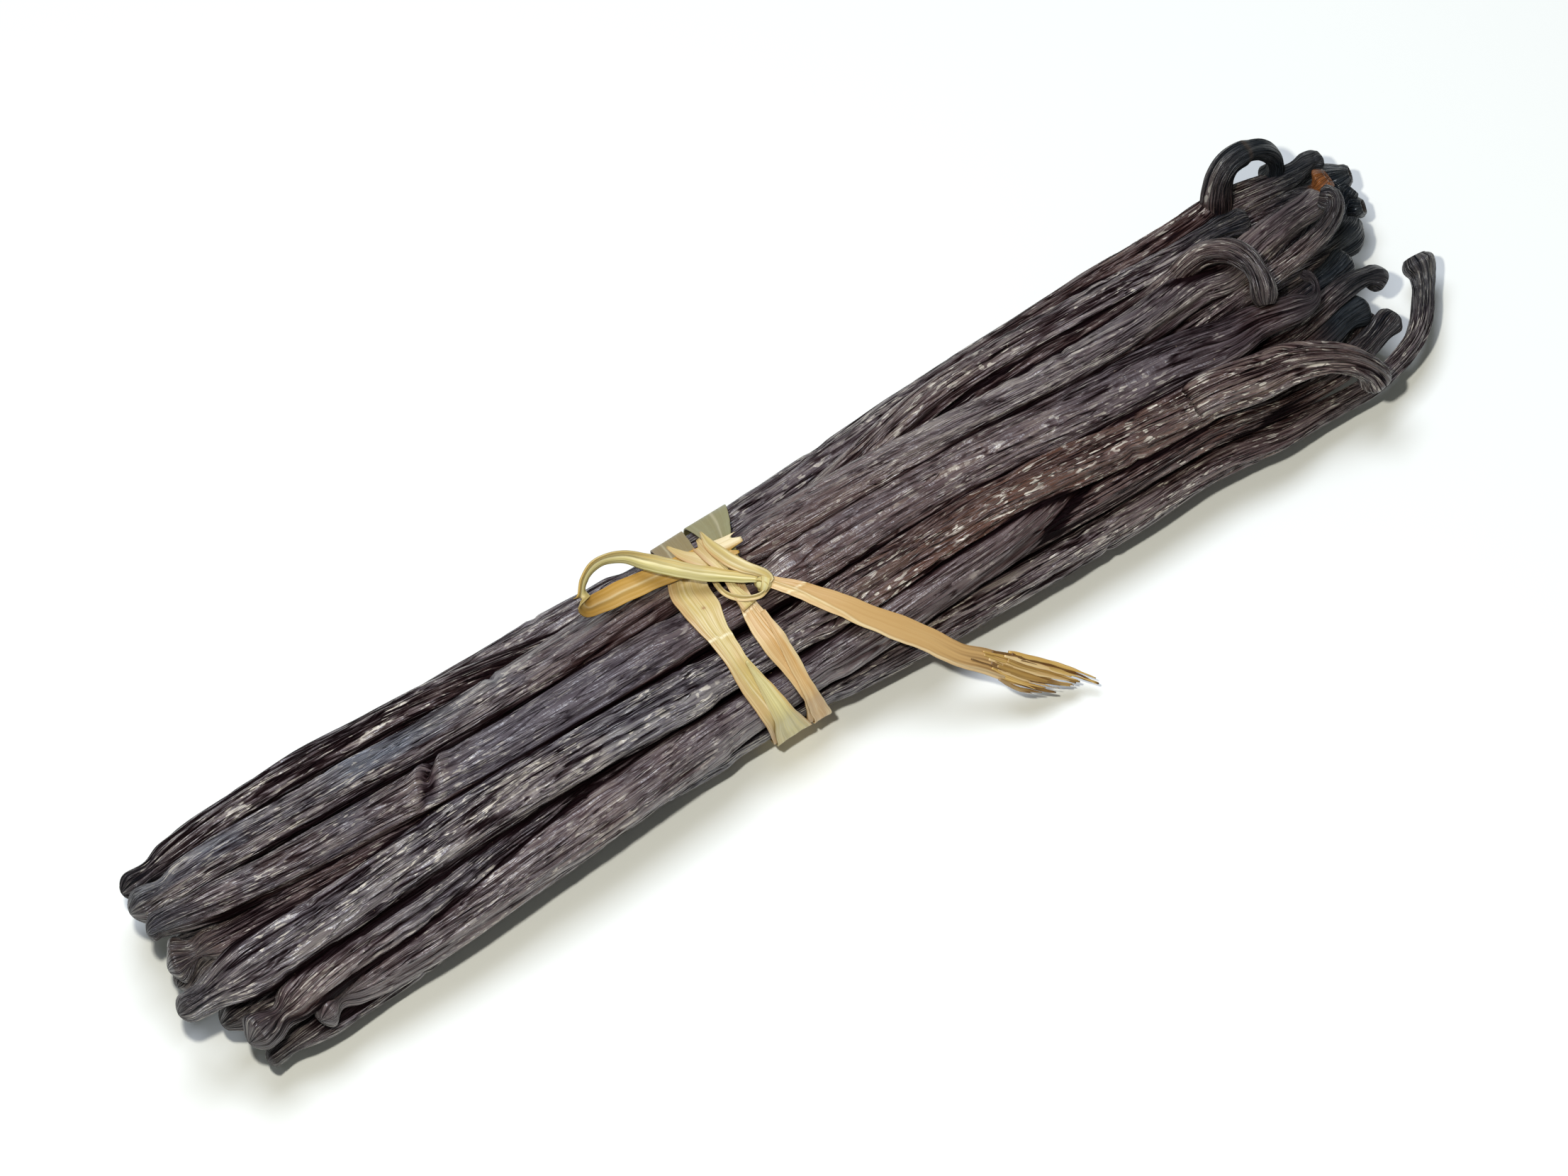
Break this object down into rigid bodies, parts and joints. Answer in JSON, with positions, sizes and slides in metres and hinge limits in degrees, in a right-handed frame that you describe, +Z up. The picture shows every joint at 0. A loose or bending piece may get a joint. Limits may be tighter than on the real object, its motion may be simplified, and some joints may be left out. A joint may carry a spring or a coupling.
{
  "type": "bundle of vanilla pods",
  "caption": "Long dark cured vanilla pods lying side by side in an oval sheaf, tied round the middle with a strip of dried leaf in a half bow with a long loose tail.",
  "frame": {"origin": "bottom centre of the bounding box, on the surface that the bundle lies on", "axes": "+X along the bundle from the blunt ends to the curled stem ends, +Y across it, +Z up"},
  "size_m": [0.1916, 0.0458, 0.03],
  "materials": {
    "pod_skin": "oily, finely furrowed, soft sheen",
    "dried_leaf": "dry straw-coloured leaf, fibres along its length, satin"
  },
  "bodies": {
    "root": {"pods": "pod_skin", "leaf_tie": "dried_leaf"}
  },
  "joints": []
}
